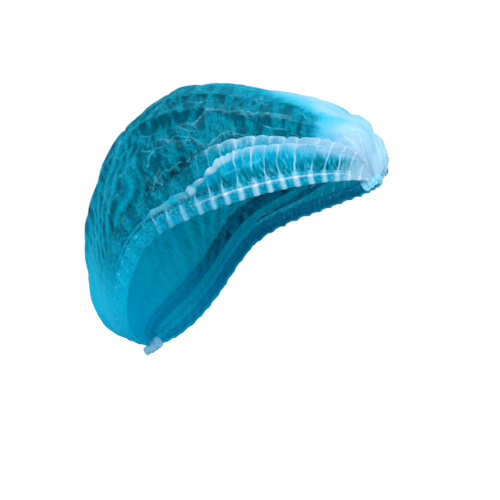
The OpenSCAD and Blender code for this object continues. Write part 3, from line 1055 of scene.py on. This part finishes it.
def welded(name, low, high):
    """Non-woven melted into a stiff, glossier film."""
    film = Finish(name)
    where = film.node("ShaderNodeTexCoord", {}, {}, 3)
    grain = film.noise(where, 2600.0, 3.0)
    cloud = film.noise(where, 420.0, 3.0)
    tone = film.blend(low, high, film.ramp(cloud * 0.7 + grain * 0.3, 0.3, 0.7))
    normal = film.bumped(0.5, 0.0004, grain + cloud)
    return film.output(film.node("ShaderNodeBsdfPrincipled", {}, {
        "Base Color": tone, "Roughness": 0.3 + grain * 0.2, "Normal": normal}))


crown_finish = nonwoven("crown sheet", 1.0, 0.05)
fold_finish = nonwoven("folded sheet", 0.6, 0.95)
elastic_finish = rubber()
weld_finish = welded("weld", colour(0, 150, 192), colour(70, 185, 220))
knot_finish = welded("knot", CREASE, ICE)


def dress(piece, finish, slot, *nodes):
    """Gives a piece its finish and hides the nodes that it stands for; the slot is not used."""
    piece.data.materials.append(finish)
    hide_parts(*nodes)


def follow(piece, side):
    """Bakes the piece's placing into its mesh; the side is not used."""
    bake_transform(piece)


for side, crown in crown_cloths():
    dress(crown, crown_finish, "sheet", "crown_panel")
    pleat = pleat_cloth(side)
    dress(pleat, fold_finish, "sheet", f"{side}_pleat")
    brim = brim_cloth(side)
    dress(brim, fold_finish, "fold", f"{side}_brim")
    hem = hem_cloth(side)
    dress(hem, fold_finish, "fold", f"{side}_hem")
    strands = []
    for level in ELASTIC_HEIGHTS:
        strand = elastic_strand(side, level)
        dress(strand, elastic_finish, "elastic", f"{side}_{level}_elastic")
        strands.append(strand)
    spots = weld_spots(side)
    dress(spots, weld_finish, "weld", f"{side}_hem_welds")
    for piece in (crown, pleat, brim, hem, *strands, spots):
        follow(piece, side)

for place in ("front", "rear"):
    knot = end_knot(place)
    dress(knot, knot_finish, "weld", f"{place}_end_seal")
    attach(knot, "crown")

# Floor, light and the photograph's view
FLOOR_GAP = 0.001
FLOOR_HALF = 6.0
FLOOR_GLOW = 0.68
SKY_LIGHT = 0.5
PHOTO_SIZE = 500
PIXEL = 0.0007
VIEW_TURN = math.radians(-60)
VIEW_DISTANCE = 1.6
PIVOT = Vector((0, 0, 0.030))
PIVOT_PIXEL = (259, 223)


def seen_directly(finish):
    """1 for the view itself and for what is seen in gloss or through a clear piece."""
    path = finish.node("ShaderNodeLightPath", {}, {})
    rays = [Value(finish, path.socket.node.outputs[name])
            for name in ("Is Camera Ray", "Is Glossy Ray", "Is Transmission Ray")]
    return rays[0].most(rays[1]).most(rays[2])


def floor():
    """Pale floor just under the cap, white to the view, which keeps the cap's shadow."""
    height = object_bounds()[0][2] - FLOOR_GAP
    mesh = bpy.data.meshes.new("floor")
    corners = [(x * FLOOR_HALF, y * FLOOR_HALF, height) for x, y in ((-1, -1), (1, -1), (1, 1), (-1, 1))]
    mesh.from_pydata(corners, [], [(0, 1, 2, 3)])
    piece = linked("floor", mesh)
    paint = Finish("floor")
    plain = paint.node("ShaderNodeBsdfDiffuse", {}, {"Color": (0.8, 0.8, 0.8, 1)})
    white = paint.node("ShaderNodeEmission", {}, {"Color": (1, 1, 1, 1), "Strength": FLOOR_GLOW})
    both = paint.node("ShaderNodeAddShader", {}, {0: plain, 1: white})
    shader = paint.node("ShaderNodeMixShader", {}, {0: seen_directly(paint), 1: plain, 2: both})
    mesh.materials.append(paint.output(shader))
    piece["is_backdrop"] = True


def lamp(name, place, size, power):
    """A square lamp aimed at the cap."""
    data = bpy.data.lights.new(name, "AREA")
    data.size = size
    data.energy = power
    light = linked(name, data)
    light.location = place
    light.rotation_euler = (PIVOT - Vector(place)).to_track_quat("-Z", "Y").to_euler()


def sky():
    """Soft light from all round, white to the view."""
    world = bpy.data.worlds.new("white")
    bpy.context.scene.world = world
    world.use_nodes = True
    tree = world.node_tree
    tree.nodes.clear()
    path = tree.nodes.new("ShaderNodeLightPath")
    lit, seen, choice = (tree.nodes.new(kind) for kind in
                         ("ShaderNodeBackground", "ShaderNodeBackground", "ShaderNodeMixShader"))
    lit.inputs["Strength"].default_value = SKY_LIGHT
    lit.inputs["Color"].default_value = (1, 1, 1, 1)
    seen.inputs["Color"].default_value = (1, 1, 1, 1)
    tree.links.new(path.outputs["Is Camera Ray"], choice.inputs[0])
    tree.links.new(lit.outputs[0], choice.inputs[1])
    tree.links.new(seen.outputs[0], choice.inputs[2])
    out = tree.nodes.new("ShaderNodeOutputWorld")
    tree.links.new(choice.outputs[0], out.inputs["Surface"])


def camera():
    """The photograph's view: level, from the front right, with the pivot on its own pixel."""
    data = bpy.data.cameras.new("view")
    data.sensor_width = 36
    data.lens = data.sensor_width * VIEW_DISTANCE / (PHOTO_SIZE * PIXEL)
    ahead = Vector((-math.sin(VIEW_TURN), math.cos(VIEW_TURN), 0))
    right = Vector((ahead.y, -ahead.x, 0))
    off_right, off_down = (p - PHOTO_SIZE / 2 for p in PIVOT_PIXEL)
    aim = PIVOT - right * off_right * PIXEL + Vector((0, 0, off_down * PIXEL))
    view = linked("view", data)
    view.location = aim - ahead * VIEW_DISTANCE
    view.rotation_euler = ahead.to_track_quat("-Z", "Y").to_euler()
    bpy.context.scene.camera = view


floor()
lamp("key", (-0.5, -1.3, 1.0), 0.9, 22)
lamp("fill", (-1.4, 0.5, 0.5), 1.2, 11)
lamp("top", (0.2, 0.2, 1.5), 1.0, 10)
sky()
camera()
bpy.context.scene.view_settings.view_transform = "Standard"
